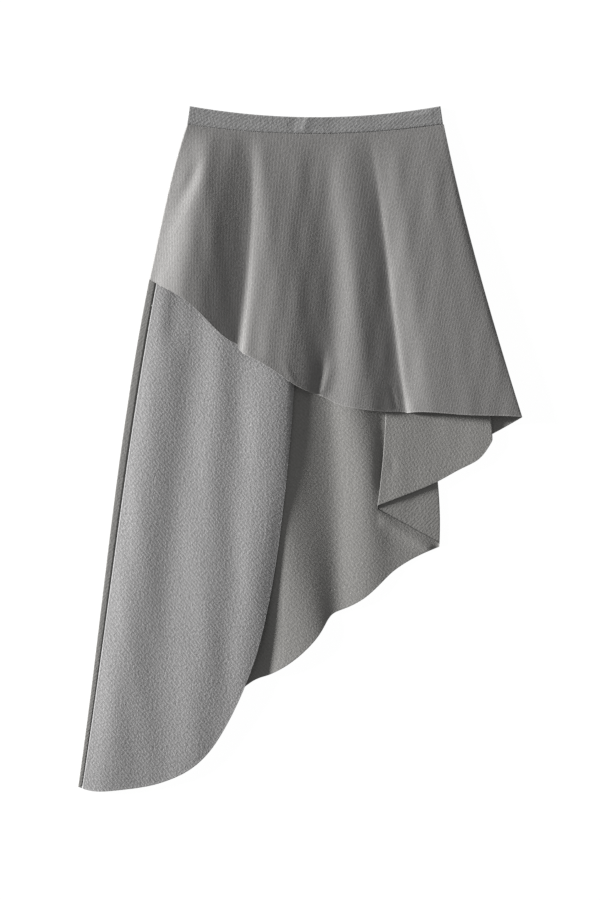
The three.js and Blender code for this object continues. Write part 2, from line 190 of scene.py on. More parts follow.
OVERLAY_ROWS = (
    ("left edge", -153, -174, -190, -205, 231, 4.6, 4.8, 5, 5.4, 5.8),
    ("left rise", -148, -168, -184, -198, 227, 4.6, 5.6, 6.8, 7.4, 7.4),
    ("first flute rise", -139, -157, -173, -188, 221, 4.6, 7.4, 9.4, 11, 11.2),
    ("first flute", -130, -142, -159, -174, 214, 4.6, 9.8, 15.2, 17.2, 16.4),
    ("first flute top", -118, -129, -143, -155, 203, 4.6, 11.5, 18.2, 20, 19.2),
    ("first flute fall", -103, -108, -120, -131, 181, 4.6, 10.8, 17, 18.2, 17.4),
    ("first flute foot", -89, -92, -100, -107, 154, 4.6, 9.4, 14.6, 14.2, 13.6),
    ("first valley", -80, -80, -83, -88, 143, 4.6, 7.8, 12.4, 11, 10.8),
    ("second fold under", -68, -66, -73, -84, 142, 4.6, 7.2, 11.6, 9.9, 10, SOFT),
    ("second fold lip", -64, -62.5, -69, -80, 131, 4.6, 7.8, 12.4, 10.9, 11.2, SOFT),
    ("second shoulder", -56, -55, -61, -72, 127, 4.6, 9.2, 14.8, 14.8, 15.4, SOFT),
    ("second flute top", -50, -43, -40, -43, 113, 4.6, 10.4, 16.4, 17, 17.2),
    ("second flute fall", -13, -10, -7, -7, 86, 4.6, 9.6, 15, 16.4, 15.8),
    ("second flute foot", 12, 14, 16, 13, 77, 4.6, 8.2, 12.6, 13.2, 12.6),
    ("middle valley", 28, 38, 42, 34, 71, 4.6, 7, 9.2, 8.8, 8.8),
    ("third flute rise", 44, 53, 57, 50, 60, 4.6, 8.2, 10.4, 10.4, 11),
    ("third flute top", 62, 73, 77, 77, 54, 4.6, 10.4, 14.4, 15.6, 16.4),
    ("third flute fall", 77, 90, 99, 111, 50, 4.6, 9.4, 12.4, 12, 12.2),
    ("third valley", 90, 108, 120, 136, 50, 4.6, 7, 8.8, 8.4, 8.6),
    ("fourth fold under", 95.5, 113, 127, 144, 50, 4.6, 7, 8.3, 8.1, 8.3, SOFT),
    ("fourth fold lip", 98.5, 116, 130, 147, 48, 4.6, 7.6, 9.2, 9.2, 9.3, SOFT),
    ("fourth shoulder", 107, 124, 138, 153.5, 50, 4.6, 8.8, 11.8, 12, 12.5, SOFT),
    ("fourth flute top", 124, 145, 163, 180, 50, 4.6, 10, 14.2, 14.8, 15),
    ("right flat 1", 160, 183, 202, 226, 45, 4.6, 9.6, 13.8, 14.4, 14.8),
    ("right flat 2", 183, 210, 240, 270, 45, 4.6, 9, 13.3, 13.8, 13.8),
    ("right flat 3", 192, 221.5, 257, 296, 44, 4.6, 8.4, 12.8, 13.4, 13.3),
    ("beside right edge", 194.5, 224.5, 260.5, 300.5, 43, 4.6, 7.8, 11.8, 12.8, 13),
    ("right edge", 196, 226, 262, 302, 43, 4.6, 7.6, 11.6, 12.4, 12.6),
)


@dataclass(frozen=True)
class Rail:
    """A line down the cloth from the waist to the hem, as a row of a table gives it.

    Attributes:
        name: Its name.
        x: Its x at the waist, a third down, two thirds down and at the hem, in millimetres.
        hem_y: Its y at the hem, in millimetres.
        z: Five heights that pull it from the waist to the hem, in millimetres.
        mark: What it is in its panel.
    """

    name: str
    x: tuple[float, ...]
    hem_y: float
    z: tuple[float, ...]
    mark: Mark


def rails_of(rows: tuple[tuple, ...]) -> tuple[Rail, ...]:
    """Makes a rail of each row of a table.

    Args:
        rows: The table.

    Returns:
        The rails in the table's order.
    """
    rails = []
    for name, *values in rows:
        mark = values.pop() if isinstance(values[-1], Mark) else PLAIN
        rails.append(Rail(name, tuple(values[:4]), values[4], tuple(values[5:]), mark))
    return tuple(rails)


def waist_seam_y(x: Array) -> Array:
    """The y of the waist seam over x, a parabola with its low point in the middle."""
    return WAIST_SEAM_LOW + WAIST_SEAM_RISE * ((x - WAIST_MIDDLE) / WAIST_SEAM_HALF) ** 2


def band_top_y(x: Array) -> Array:
    """The y of the band's upper edge over x, a parabola with its low point in the middle."""
    return BAND_TOP_LOW + BAND_TOP_RISE * ((x - WAIST_MIDDLE) / BAND_TOP_HALF) ** 2


def spline_weights(count: int, shares: Array) -> Array:
    """Weights of a clamped even cubic B-spline, by the recursion that blends two lower orders.

    Args:
        count: Number of control points.
        shares: Places along the spline, from 0 to 1.

    Returns:
        An array with a row for each share and a column for each control point.
    """
    degree = 3
    spans = count - degree
    knots = np.clip(np.arange(count + degree + 1) - degree, 0, spans).astype(float)
    at = np.minimum(shares * spans, spans * (1 - SPLINE_END))[:, None]
    weights = ((knots[None, :-1] <= at) & (at < knots[None, 1:])).astype(float)
    for order in range(1, degree + 1):
        last = len(knots) - order - 1
        rise = knots[order:-1][:last] - knots[:last]
        fall = knots[order + 1 :][:last] - knots[1 : last + 1]
        up = np.where(rise > 0, (at - knots[:last]) / np.where(rise > 0, rise, 1), 0)
        down = np.where(fall > 0, (knots[order + 1 :][:last] - at) / np.where(fall > 0, fall, 1), 0)
        weights = up * weights[:, :last] + down * weights[:, 1 : last + 1]
    return weights[:, :count]


def through_thirds(values: Array, shares: Array) -> Array:
    """The cubic through four values at shares 0, 1/3, 2/3 and 1, by Lagrange's formula.

    Args:
        values: A row of four values for each rail.
        shares: Places down the panel, from 0 to 1.

    Returns:
        A row for each rail with a value for each share.
    """
    t = 3 * shares
    weights = np.stack(
        [
            -(t - 1) * (t - 2) * (t - 3) / 6,
            t * (t - 2) * (t - 3) / 2,
            -t * (t - 1) * (t - 3) / 2,
            t * (t - 1) * (t - 2) / 6,
        ]
    )
    return values @ weights


def smooth_step(low: float, high: float, values: Array) -> Array:
    """Rises softly from 0 at low to 1 at high, as three t squared less two t cubed."""
    t = np.clip((values - low) / (high - low), 0, 1)
    return t * t * (3 - 2 * t)


@dataclass(frozen=True)
class Crease:
    """A soft trough or ridge that runs along a path on the cloth, from the hem towards the waist.

    Attributes:
        path: Points (x, y) in millimetres as the skirt lies.
        height: Height of its crest; a trough is negative.
        left: Its reach to the left of the path, in millimetres.
        right: Its reach to the right of the path, in millimetres.
        fade_in: Share of the path over which it rises.
        fade_out: Share of the path over which it fades.
        above: Height under which the cloth doesn't have it, as in the lower layers of a fold.
        below: Height over which the cloth doesn't have it, as in the upper layers of a fold.
    """

    path: tuple[tuple[float, float], ...]
    height: float
    left: float
    right: float
    fade_in: float = 0.4
    fade_out: float = 0.4
    above: float = 0.0
    below: float = 99.0

    def lift(self, x: Array, y: Array, z: Array) -> Array:
        """Its height over each point: a bell across the path, times a fade at both ends.

        Args:
            x: The points' x in millimetres.
            y: The points' y in millimetres.
            z: The points' height in millimetres.

        Returns:
            The height to add, in millimetres.
        """
        points = np.array(self.path, float)
        steps = np.hypot(*np.diff(points, axis=0).T)
        starts = np.concatenate([[0], np.cumsum(steps)])
        nearest = np.full(x.shape, np.inf)
        side = np.zeros(x.shape)
        along = np.zeros(x.shape)
        for (x0, y0), (x1, y1), step, start in zip(points[:-1], points[1:], steps, starts[:-1]):
            tx, ty = (x1 - x0) / step, (y1 - y0) / step
            reach = np.clip((x - x0) * tx + (y - y0) * ty, 0, step)
            dx, dy = x - x0 - reach * tx, y - y0 - reach * ty
            distance = np.hypot(dx, dy)
            closer = distance < nearest
            nearest = np.where(closer, distance, nearest)
            side = np.where(closer, dx * ty - dy * tx, side)
            along = np.where(closer, start + reach, along)
        share = along / starts[-1]
        width = np.where(side > 0, self.right, self.left)
        fade = np.ones(x.shape)
        if self.fade_in > 0:
            fade = fade * smooth_step(0, self.fade_in, share)
        if self.fade_out > 0:
            fade = fade * smooth_step(0, self.fade_out, 1 - share)
        layer = (z >= self.above) & (z <= self.below)
        return self.height * np.exp(-((nearest / width) ** 2)) * fade * layer


@dataclass(frozen=True)
class Unevenness:
    """The slight waviness of cloth that has been worn and laid down by hand.

    Attributes:
        height: Half the height of its waves, in millimetres.
        length: Length of its waves, in millimetres.
        seed: Start of its random draws.
        waves: Number of waves that are added up.
    """

    height: float = 0.25
    length: float = 60.0
    seed: int = 1
    waves: int = 9

    # Largest heading of a wave off +X in radians, and its shortest and longest share of the length
    HEADING = 0.25
    SHARES = (0.6, 1.6)

    def lift(self, x: Array, y: Array) -> Array:
        """The sum of a few sine waves with random headings, lengths and starts.

        Args:
            x: The points' x in millimetres.
            y: The points' y in millimetres.

        Returns:
            The height to add, in millimetres.
        """
        draw = np.random.default_rng(self.seed)
        total = np.zeros(x.shape)
        for _ in range(self.waves):
            heading = draw.uniform(-self.HEADING, self.HEADING)
            length = self.length * draw.uniform(*self.SHARES)
            start = draw.uniform(0, 2 * math.pi)
            run = x * math.cos(heading) + y * math.sin(heading)
            total += np.sin(2 * math.pi * run / length + start)
        return self.height * total / math.sqrt(self.waves)


@dataclass(frozen=True)
class TwillFinish:
    """A wool-like suiting twill: fine diagonal ribs, a soft nap and a slight sheen.

    Attributes:
        name: Name of the material.
        colour: Colour of the yarn, linear, set for each panel to how light it looks: partly painted light and
            shade.
        rib_pitch: Distance from rib to rib along the weft, in metres.
        rib_lean: Slope of the ribs; the sign turns them to the other hand.
        thread_pitch: Distance from thread to thread, in metres.
        relief: Strength of the weave's bump.
        shade: Share by which the colour follows the weave's relief, darker in its hollows as painted shade.
        roughness: Roughness of the cloth.
        sheen: Weight of the nap's sheen.
    """

    name: str
    colour: tuple[float, float, float] = (0.172, 0.168, 0.164)
    rib_pitch: float = 0.0044
    rib_lean: float = -0.12
    thread_pitch: float = 0.0011
    relief: float = 0.28
    shade: float = 0.14
    roughness: float = 0.55
    sheen: float = 0.12

    def material(self) -> bpy.types.Material:
        """Builds the material, with its weave from the shared group on the piece's own cut map.

        Returns:
            The new material.
        """
        made = bpy.data.materials.new(self.name)
        made.use_nodes = True
        nodes, links = made.node_tree.nodes, made.node_tree.links
        shader = nodes["Principled BSDF"]
        cut = nodes.new("ShaderNodeUVMap")
        cut.uv_map = CUT_MAP
        weave = nodes.new("ShaderNodeGroup")
        weave.node_tree = weave_group()
        for socket, value in (
            ("Yarn", (*self.colour, 1.0)),
            ("Rib Pitch", self.rib_pitch),
            ("Rib Lean", self.rib_lean),
            ("Thread Pitch", self.thread_pitch),
            ("Shade", self.shade),
            ("Roughness", self.roughness),
            ("Relief", self.relief),
        ):
            weave.inputs[socket].default_value = value
        # The map of pressing and painted light, read by the weave for its colour and roughness
        wear_and_painted_light = nodes.new("ShaderNodeAttribute")
        wear_and_painted_light.attribute_name = WEAR_AND_LIGHT_MAP
        links.new(cut.outputs["UV"], weave.inputs["Cut"])
        links.new(wear_and_painted_light.outputs["Fac"], weave.inputs["Wear"])
        links.new(weave.outputs["Color"], shader.inputs["Base Color"])
        links.new(weave.outputs["Roughness"], shader.inputs["Roughness"])
        links.new(weave.outputs["Normal"], shader.inputs["Normal"])
        shader.inputs["Sheen Weight"].default_value = self.sheen
        shader.inputs["Sheen Roughness"].default_value = SHEEN_ROUGHNESS
        shader.inputs["Specular IOR Level"].default_value = CLOTH_SPECULAR
        return made


class NodeMaker:
    """Adds nodes to a tree and links them in one call."""

    def __init__(self, tree: bpy.types.NodeTree) -> None:
        """Keeps the tree that the nodes go into."""
        self.tree = tree

    def math(self, operation: str, *values: object, clamp: bool = False) -> Socket:
        """Adds a Math node.

        Args:
            operation: The node's operation.
            values: A number or a socket for each input.
            clamp: Whether the result is kept between 0 and 1.

        Returns:
            The node's output.
        """
        node = self.tree.nodes.new("ShaderNodeMath")
        node.operation = operation
        node.use_clamp = clamp
        for i, value in enumerate(values):
            self.feed(node.inputs[i], value)
        return node.outputs[0]

    def feed(self, socket: Socket, value: object) -> None:
        """Links a socket to an input, or sets the input to a value.

        Args:
            socket: The input.
            value: A number, a colour or another node's output.
        """
        if isinstance(value, Socket):
            self.tree.links.new(value, socket)
        else:
            socket.default_value = value

    def noise(self, vector: Socket, scale: float) -> Socket:
        """Adds a noise texture.

        Args:
            vector: Where it is looked up.
            scale: Its scale.

        Returns:
            Its value, a half on the whole.
        """
        node = self.tree.nodes.new("ShaderNodeTexNoise")
        self.feed(node.inputs["Vector"], vector)
        node.inputs["Scale"].default_value = scale
        node.inputs["Detail"].default_value = NOISE_DETAIL
        return node.outputs["Fac"]

    def tint(self, colour: object, factor: Socket) -> Socket:
        """Adds a node that scales a colour by a factor.

        Args:
            colour: A colour or a socket.
            factor: The factor's socket.

        Returns:
            The scaled colour.
        """
        node = self.tree.nodes.new("ShaderNodeVectorMath")
        node.operation = "SCALE"
        self.feed(node.inputs[0], colour)
        self.feed(node.inputs["Scale"], factor)
        return node.outputs[0]

    def bump(self, height: Socket, distance: float, strength: object = 1.0) -> Socket:
        """Adds a bump.

        Args:
            height: Its height's socket.
            distance: What a height of 1 stands for, in metres.
            strength: A number or a socket.

        Returns:
            The bumped normal.
        """
        node = self.tree.nodes.new("ShaderNodeBump")
        self.feed(node.inputs["Distance"], distance)
        self.feed(node.inputs["Height"], height)
        self.feed(node.inputs["Strength"], strength)
        return node.outputs["Normal"]

    def wave(self, distance: Socket, pitch: Socket) -> Socket:
        """A sine of a distance, with one turn for each pitch."""
        turns = self.math("DIVIDE", distance, pitch)
        return self.math("SINE", self.math("MULTIPLY", turns, 2 * math.pi))

    def about_middle(self, noise: Socket) -> Socket:
        """A noise less its middle, so that it goes both ways from zero."""
        return self.math("SUBTRACT", noise, NOISE_MIDDLE)


def weave_group() -> bpy.types.NodeTree:
    """The shared node group for the twill: colour, roughness and bump from the cut map in metres.

    The ribs are a sine of the distance across them, broken up by noise. The threads are the product of a sine
    each way. Both darken the hollows, as painted shade in the weave. Large soft noise changes the colour over
    the cloth, and so does the map of pressing and painted light: above zero it lightens the cloth, a painted
    highlight, below zero it darkens it.

    Returns:
        The group's node tree, made once.
    """
    if WEAVE_GROUP in bpy.data.node_groups:
        return bpy.data.node_groups[WEAVE_GROUP]
    tree = bpy.data.node_groups.new(WEAVE_GROUP, "ShaderNodeTree")
    face = tree.interface
    numbers = ("Wear", "Rib Pitch", "Rib Lean", "Thread Pitch", "Shade", "Roughness", "Relief")
    for side, kind, names in (
        ("INPUT", "Vector", ("Cut",)),
        ("INPUT", "Color", ("Yarn",)),
        ("INPUT", "Float", numbers),
        ("OUTPUT", "Color", ("Color",)),
        ("OUTPUT", "Float", ("Roughness",)),
        ("OUTPUT", "Vector", ("Normal",)),
    ):
        for name in names:
            face.new_socket(name, in_out=side, socket_type="NodeSocket" + kind)
    make = NodeMaker(tree)
    given = tree.nodes.new("NodeGroupInput")
    result = tree.nodes.new("NodeGroupOutput")
    cut = given.outputs["Cut"]
    split = tree.nodes.new("ShaderNodeSeparateXYZ")
    tree.links.new(cut, split.inputs[0])
    u, v = split.outputs[0], split.outputs[1]

    fuzz = make.noise(cut, FUZZ_SCALE)
    slub = make.noise(cut, SLUB_SCALE)
    cloud = make.noise(cut, CLOUD_SCALE)

    slanted = make.math("ADD", u, make.math("MULTIPLY", v, given.outputs["Rib Lean"]))
    bent = make.math("MULTIPLY_ADD", slub, RIB_BEND, slanted)
    rib = make.wave(bent, given.outputs["Rib Pitch"])
    warp = make.wave(u, given.outputs["Thread Pitch"])
    weft = make.wave(v, given.outputs["Thread Pitch"])
    threads = make.math("MULTIPLY", warp, weft)
    ribbed = make.math("MULTIPLY_ADD", rib, RIB_WEIGHT, make.math("MULTIPLY", threads, THREAD_WEIGHT))
    rough = make.math("MULTIPLY_ADD", make.about_middle(slub), SLUB_WEIGHT, ribbed)
    relief = make.math("MULTIPLY_ADD", make.about_middle(fuzz), FUZZ_WEIGHT, rough)

    # Painted shade: the colour is darker in the weave's hollows, where its relief is low
    shade = make.math("MULTIPLY", relief, given.outputs["Shade"])
    patch = make.math("MULTIPLY", make.about_middle(cloud), CLOUD_SHADE)
    # Painted light from the map: a painted highlight above zero, edges painted darker below zero
    painted_wear_and_light = make.math("MULTIPLY", given.outputs["Wear"], WEAR_AND_LIGHT_COLOUR)
    factor = make.math("ADD", make.math("ADD", make.math("ADD", 1.0, shade), patch), painted_wear_and_light)
    tree.links.new(make.tint(given.outputs["Yarn"], factor), result.inputs["Color"])

    lowest = make.math("SUBTRACT", given.outputs["Roughness"], SLUB_DULLNESS * NOISE_MIDDLE)
    dull = make.math("MULTIPLY_ADD", slub, SLUB_DULLNESS, lowest)
    polished = make.math("MULTIPLY_ADD", given.outputs["Wear"], -WEAR_AND_LIGHT_POLISH, dull, clamp=True)
    tree.links.new(polished, result.inputs["Roughness"])

    normal = make.bump(relief, BUMP_DISTANCE, given.outputs["Relief"])
    tree.links.new(normal, result.inputs["Normal"])
    return tree


@dataclass
class CutMesh:
    """A finished mesh's points, faces and maps, before it becomes an object.

    Attributes:
        points: A row (x, y, z) in metres for each point.
        quads: A row of four point numbers for each face.
        cut: A row (u, v) in metres for each point, its place on the cut cloth.
        wear_and_painted_light: A value for each point: above zero where the cloth is pressed, below where an edge is dark.
    """

    points: Array
    quads: Array
    cut: Array
    wear_and_painted_light: Array

    def as_object(self, name: str, material: bpy.types.Material) -> bpy.types.Object:
        """Puts the mesh into a new object at the origin.

        Args:
            name: Name of the piece.
            material: Its finish.

        Returns:
            The new object, linked into the scene.
        """
        mesh = bpy.data.meshes.new(name)
        mesh.vertices.add(len(self.points))
        mesh.vertices.foreach_set("co", self.points.astype(np.float32).ravel())
        mesh.loops.add(self.quads.size)
        mesh.loops.foreach_set("vertex_index", self.quads.astype(np.int32).ravel())
        mesh.polygons.add(len(self.quads))
        mesh.polygons.foreach_set("loop_start", np.arange(0, self.quads.size, 4, dtype=np.int32))
        mesh.update(calc_edges=True)
        uv = mesh.uv_layers.new(name=CUT_MAP)
        uv.data.foreach_set("uv", self.cut[self.quads.ravel()].astype(np.float32).ravel())
        wear_and_painted_light = mesh.attributes.new(WEAR_AND_LIGHT_MAP, "FLOAT", "POINT")
        wear_and_painted_light.data.foreach_set("value", self.wear_and_painted_light.astype(np.float32))
        mesh.polygons.foreach_set("use_smooth", np.ones(len(self.quads), dtype=bool))
        mesh.materials.append(material)
        mesh.validate()
        made = bpy.data.objects.new(name, mesh)
        bpy.context.scene.collection.objects.link(made)
        return made


def shell_of(middle: Array, thickness: Array, cut: Array, wear_and_painted_light: Array) -> CutMesh:
    """A closed shell with the given surface as its middle.

    Each point gives one on the face and one on the lining, half the thickness away along the normal, which is
    the cross product of the slopes down and across. The rims are closed by one row of faces.

    Args:
        middle: Points of the middle surface, across by down by 3, in metres.
        thickness: The shell's thickness at each point, in metres.
        cut: The points' places on the cut cloth, in metres.
        wear_and_painted_light: The points' wear.

    Returns:
        The shell's mesh.
    """
    columns, lines = middle.shape[:2]
    slope = np.gradient(middle, axis=0)
    fall = np.gradient(middle, axis=1)
    normal = np.cross(fall, slope)
    normal /= np.linalg.norm(normal, axis=2, keepdims=True)
    half = thickness[..., None] / 2
    sides = np.stack([middle + normal * half, middle - normal * half])
    number = np.arange(columns * lines).reshape(columns, lines)
    corners = [number[:-1, :-1], number[:-1, 1:], number[1:, 1:], number[1:, :-1]]
    face = np.stack(corners, axis=-1).reshape(-1, 4)
    lining = face[:, ::-1] + columns * lines
    border = np.concatenate([number[0, :], number[1:, -1], number[-1, -2::-1], number[-2:0:-1, 0]])
    after = np.roll(border, -1)
    rim = np.stack([border, border + columns * lines, after + columns * lines, after], axis=-1)
    return CutMesh(
        points=sides.reshape(-1, 3),
        quads=np.concatenate([face, lining, rim]),
        cut=np.tile(cut.reshape(-1, 2), (2, 1)),
        wear_and_painted_light=np.tile(wear_and_painted_light.ravel(), 2),
    )


@dataclass(kw_only=True)
class Sheet:
    """A piece of cloth that is cut flat.

    Attributes:
        node: Name of the solid that it stands for.
        flat: Width and length of the rectangle that the cut fits in, in metres; not used.
        rests_on: Names of what it lies on; not used.
        finish: Its cloth.
        creases: Its soft troughs and ridges.
        uneven: Its slight waviness.
    """

    node: str
    flat: tuple[float, float]
    rests_on: tuple[str, ...]
    finish: TwillFinish
    creases: tuple[Crease, ...] = ()
    uneven: Unevenness

    SLOT = "panel_twill"
    HELD = "laid"

    def crease_lift(self, x: Array, y: Array, z: Array) -> Array:
        """The height that all its creases add, from the points' x, y and height in millimetres."""
        return sum((crease.lift(x, y, z) for crease in self.creases), np.zeros(x.shape))

    def dress(self, mesh: CutMesh) -> bpy.types.Object:
        """Args:
            mesh: Its shell.

        Returns:
            The piece's object.
        """
        made = mesh.as_object(self.node + "_cloth", self.finish.material())
        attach(made, BODY)
        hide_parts(self.node)
        return made


@dataclass(kw_only=True)
class Panel(Sheet):
    """A cut panel of cloth that is blended from rails, as its solid is, with finer creases.

    Attributes:
        rails: Its rails from its first edge to its last.
        cloth: Its thickness, in millimetres.
        hem_bead: How much thicker the narrow turned hem is, in millimetres, which also sets its painted
            highlight.
        columns: Columns of the grid between two rails.
        columns_at_fold: Columns between two rails where the cloth turns.
        lines: Lines of the grid from the waist to the hem.
        grain: Share across the panel where the warp runs from the waist to the hem.
        fan: Share by which the cut is wider than the cloth lies, for each millimetre down.
        dark_fold: Name of the rail whose folded edge is painted dark as painted shade, or nothing.
        dark_hem: Names of the two rails between which the hem's edge is painted dark as painted shade, or
            nothing.
        dark_seam: How dark its edge is beside the seam where its rails start, from 0 to 2.
        seam_allowance: How far its first rail stands off the seam's own place, in millimetres.
    """

    rails: tuple[Rail, ...]
    cloth: float = 0.55
    hem_bead: float = 0.1
    columns: int = 7
    columns_at_fold: int = 10
    lines: int = 110
    grain: float = 0.5
    fan: float = 0.0
    dark_fold: str = ""
    dark_hem: tuple[str, str] | None = None
    dark_seam: float = 0.0
    seam_allowance: float = 0.0

    # Distances of the grid's lines from the hem and from the waist seam, in millimetres
    HEM_STEPS = (0.0, 0.15, 0.4, 0.9, 1.5, 2.2, 3.2, 4.6)
    WAIST_STEPS = (0.0, 0.3, 0.8, 1.6, 3.0)

    # Distances from the hem between which its bead, its pressed cloth with a painted highlight and its
    # painted dark edge rise to their full
    BEAD_RISE = (2.6, 0.6)
    PRESSED_AND_HIGHLIT_RISE = (3.2, 0.8)
    DARK_RISE = (2.4, 0.6)

    # The bead at which the pressing and its painted highlight are full, and how the cloth's last edge is
    # rounded:
    # its reach and thinnest share
    FULL_BEAD = 0.35
    EDGE_REACH = 0.5
    EDGE_SHARE = 0.35

    # Shares down and across over which the cloth is held by its waist seam and its side edges
    WAIST_HOLD = 0.12
    SIDE_HOLD = 0.05

    # How dark an edge's painted shade is, the width and shift of a fold's painted shade in steps between
    # rails, and shares across
    DARK_EDGE = 1.9
    DARK_WIDTH = 0.5
    DARK_SHIFT = 0.7
    DARK_SOFTNESS = 0.004
    DARK_SEAM_END = 0.02

    def rail_points(self, down: Array) -> tuple[Array, list[bool]]:
        """Points of every rail at shares down the panel, with a rail more beside each edge of a flat fold.

        Args:
            down: Shares from the waist to the hem.

        Returns:
            The points in millimetres, rail by share by 3, and whether each rail belongs to a fold.
        """
        places = np.array([rail.x for rail in self.rails], float)
        hem = np.array([rail.hem_y for rail in self.rails], float)
        heights = np.array([rail.z for rail in self.rails], float)
        top = waist_seam_y(places[:, 0]) - SEAM_GAP / 2
        x = through_thirds(places, down)
        x[0] += self.seam_allowance
        y = top[:, None] + (hem - top)[:, None] * down
        z = heights @ spline_weights(heights.shape[1], down).T
        base = np.stack([x, y, z], axis=-1)
        points, at_fold = [], []
        for i, rail in enumerate(self.rails):
            group = [base[i]]
            if rail.mark is FIRST:
                group.insert(0, self.beside(base[i], base[i - 1]))
            if rail.mark is SECOND:
                group.append(self.beside(base[i], base[i + 1]))
            points += group
            at_fold += [rail.mark is not PLAIN] * len(group)
        return np.stack(points), at_fold

    @staticmethod
    def beside(edge: Array, following: Array) -> Array:
        """A rail beside the edge of a fold, a little of the way towards the next rail.

        Args:
            edge: Points of the edge's rail.
            following: Points of the next rail on that side.

        Returns:
            The points of the rail between them.
        """
        reach = np.abs(following[:, :1] - edge[:, :1])
        share = np.minimum(TURN_SHARE, TURN_ROOM / np.maximum(reach, LEAST_REACH))
        return edge + (following - edge) * share

    def down_shares(self) -> Array:
        """Makes the grid's lines, closer together at the waist seam and in the hem's turn.

        Returns:
            Their shares from the waist to the hem.
        """
        top = np.array(self.WAIST_STEPS) / PANEL_LENGTH
        low = 1 - np.array(self.HEM_STEPS)[::-1] / PANEL_LENGTH
        between = np.linspace(top[-1], low[0], self.lines)[1:-1]
        return np.concatenate([top, between, low])

    def across_shares(self, at_fold: list[bool]) -> Array:
        """Makes the grid's columns, closer together where the cloth turns at a fold.

        Args:
            at_fold: Whether each rail belongs to a fold.

        Returns:
            Their shares across the panel.
        """
        spans = len(at_fold) - 3
        shares = [np.array([0.0])]
        for span in range(spans):
            turning = at_fold[span + 1] or at_fold[span + 2]
            count = self.columns_at_fold if turning else self.columns
            shares.append((span + np.arange(1, count + 1) / count) / spans)
        return np.concatenate(shares)

    def middle(self, across: Array, down: Array) -> Array:
        """The cloth's middle surface: the rails blended across by a cubic B-spline, with creases added.

        Args:
            across: Shares across the panel.
            down: Shares from the waist to the hem.

        Returns:
            Points in millimetres, across by down by 3.
        """
        points, _ = self.rail_points(down)
        surface = np.einsum("ur,rvk->uvk", spline_weights(len(points), across), points)
        x, y = surface[..., 0], surface[..., 1]
        lift = self.crease_lift(x, y, surface[..., 2])
        calm = smooth_step(0.0, self.WAIST_HOLD, down)[None, :]
        lift = lift + self.uneven.lift(x, y) * calm * self.free_share(across)[:, None]
        surface[..., 2] = np.maximum(surface[..., 2] + lift, FLOOR_CLEARANCE)
        return surface

    def free_share(self, across: Array) -> Array:
        """How free the cloth is to wave at each share across: not at its sewn edges."""
        return smooth_step(0.0, self.SIDE_HOLD, across) * smooth_step(0.0, self.SIDE_HOLD, 1 - across)

    def cut_places(self, surface: Array, across: Array) -> Array:
        """Each point's place on the cut cloth: its length across from the grain line, and its y.

        The length across is that of the surface's section, and the fan makes it greater towards the hem, as
        on a cut that flares more than the cloth does as it lies.

        Args:
            surface: The middle surface's points in millimetres.
            across: Shares across the panel.

        Returns:
            The places in metres, across by down by 2.
        """
        steps = np.hypot(*np.diff(surface[..., [0, 2]], axis=0).transpose(2, 0, 1))
        run = np.concatenate([np.zeros((1, surface.shape[1])), np.cumsum(steps, axis=0)])
        middle = int(np.argmin(np.abs(across - self.grain)))
        u = run - run[middle][None, :] + surface[middle, :, 0][None, :]
        u = u - self.fan * u * (surface[..., 1] - WAIST_SEAM_LOW)
        return np.stack([u, surface[..., 1]], axis=-1) * MM

    def thickness(self, down: Array, shape: tuple[int, int]) -> Array:
        """The cloth's thickness: even, with a bead at the turned hem that is rounded off at its last edge.

        Args:
            down: Shares from the waist to the hem.
            shape: Number of the grid's columns and lines.

        Returns:
            The thickness at each point of the grid, in metres.
        """
        from_hem = (1 - down) * PANEL_LENGTH
        bead = self.hem_bead * smooth_step(*self.BEAD_RISE, from_hem)
        fullness = np.sqrt(np.clip(from_hem / self.EDGE_REACH, 0, 1))
        rounded = self.EDGE_SHARE + (1 - self.EDGE_SHARE) * fullness
        return np.broadcast_to(((self.cloth + bead) * rounded)[None, :], shape) * MM

    def rail_share(self, name: str) -> float:
        """The share across at which a named rail pulls the surface most.

        Args:
            name: The rail's name.

        Returns:
            The share, with the rails beside the edges of flat folds counted in.
        """
        names = []
        for rail in self.rails:
            before = [""] if rail.mark is FIRST else []
            after = [""] if rail.mark is SECOND else []
            names += [*before, rail.name, *after]
        return (names.index(name) - 1) / (len(names) - 3)

    def wear_and_painted_light(self, down: Array, across: Array) -> Array:
        """Pressed cloth at the hem's turn with a painted highlight, more where the turn is thicker, and dark
        edges below zero.

        A dark fold is a bell of painted shade over the shares across, and a dark hem is a band of painted
        shade that ends softly.

        Args:
            down: Shares from the waist to the hem.
            across: Shares across the panel.

        Returns:
            The painted light and pressing at each point of the grid.
        """
        from_hem = (1 - down) * PANEL_LENGTH
        # Pressing at the hem: smoother cloth, and its colour painted lighter as a painted highlight
        pressed_and_highlit = smooth_step(*self.PRESSED_AND_HIGHLIT_RISE, from_hem) * min(self.hem_bead / self.FULL_BEAD, 1)
        # Darker beside the seam where the rails start
        painted_wear_and_light = pressed_and_highlit[None, :] - self.dark_seam * smooth_step(self.DARK_SEAM_END, 0.0, across)[:, None]
        # Painted shade along a folded edge
        if self.dark_fold:
            step = self.rail_share(self.rails[1].name) - self.rail_share(self.rails[0].name)
            width = self.DARK_WIDTH * step
            middle = self.rail_share(self.dark_fold) - self.DARK_SHIFT * width
            painted_wear_and_light = painted_wear_and_light - self.DARK_EDGE * np.exp(-(((across - middle) / width) ** 2))[:, None]
        # Painted shade along the hem between two rails
        if self.dark_hem:
            start, end = (self.rail_share(name) for name in self.dark_hem)
            soft = self.DARK_SOFTNESS
            risen = smooth_step(start - soft, start + soft, across)
            inside = risen * smooth_step(end + soft, end - soft, across)
            painted_wear_and_light = painted_wear_and_light - self.DARK_EDGE * inside[:, None] * smooth_step(*self.DARK_RISE, from_hem)[None, :]
        return painted_wear_and_light

